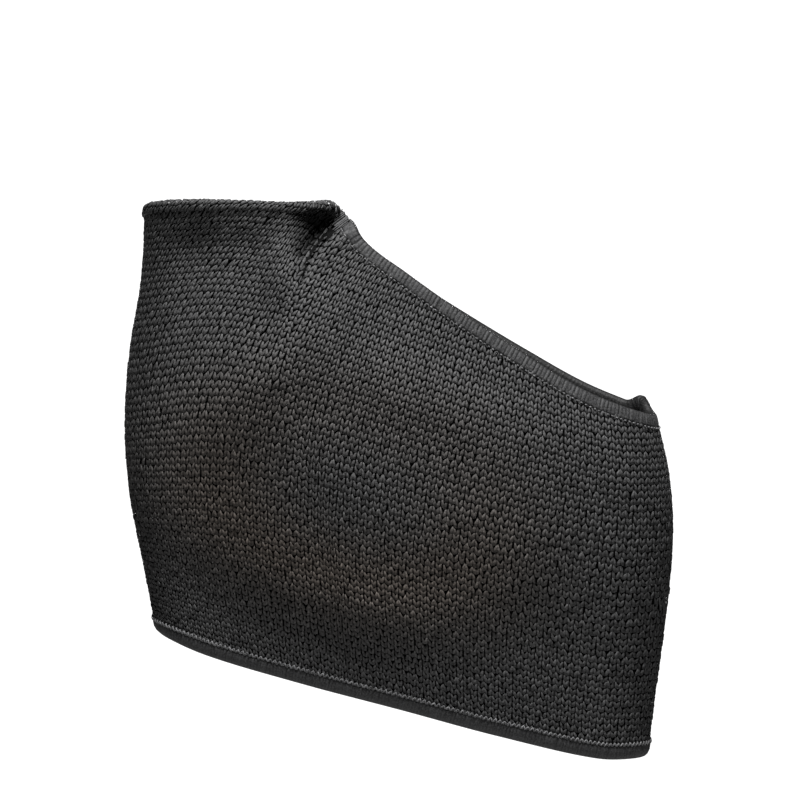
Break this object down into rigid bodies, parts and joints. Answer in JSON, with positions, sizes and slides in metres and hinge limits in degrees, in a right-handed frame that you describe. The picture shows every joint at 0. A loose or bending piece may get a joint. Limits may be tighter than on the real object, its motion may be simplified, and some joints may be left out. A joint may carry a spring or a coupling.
{
  "type": "metatarsal pad sleeve",
  "caption": "Knitted elastic forefoot sleeve with a big-toe tube, a slanted toe opening, overlocked hems and an oval gel cushion under the ball of a left foot.",
  "frame": {"origin": "middle of the space that the forefoot fills, level with the gel cushion", "axes": "+X to the little-toe side, +Y to the instep with the sole facing -Y, +Z to the toes"},
  "size_m": [0.1, 0.0578, 0.1021],
  "materials": {
    "knit": "matte black elastic jersey knit with visible stitch columns",
    "hem": "dense black overlock thread, slightly silky",
    "gel": "soft translucent amber gel with a smooth skin"
  },
  "bodies": {
    "root": {"knit_sleeve": "knit", "toe_opening_hem": "hem", "rear_hem": "hem", "gel_pad": "gel"}
  },
  "joints": []
}
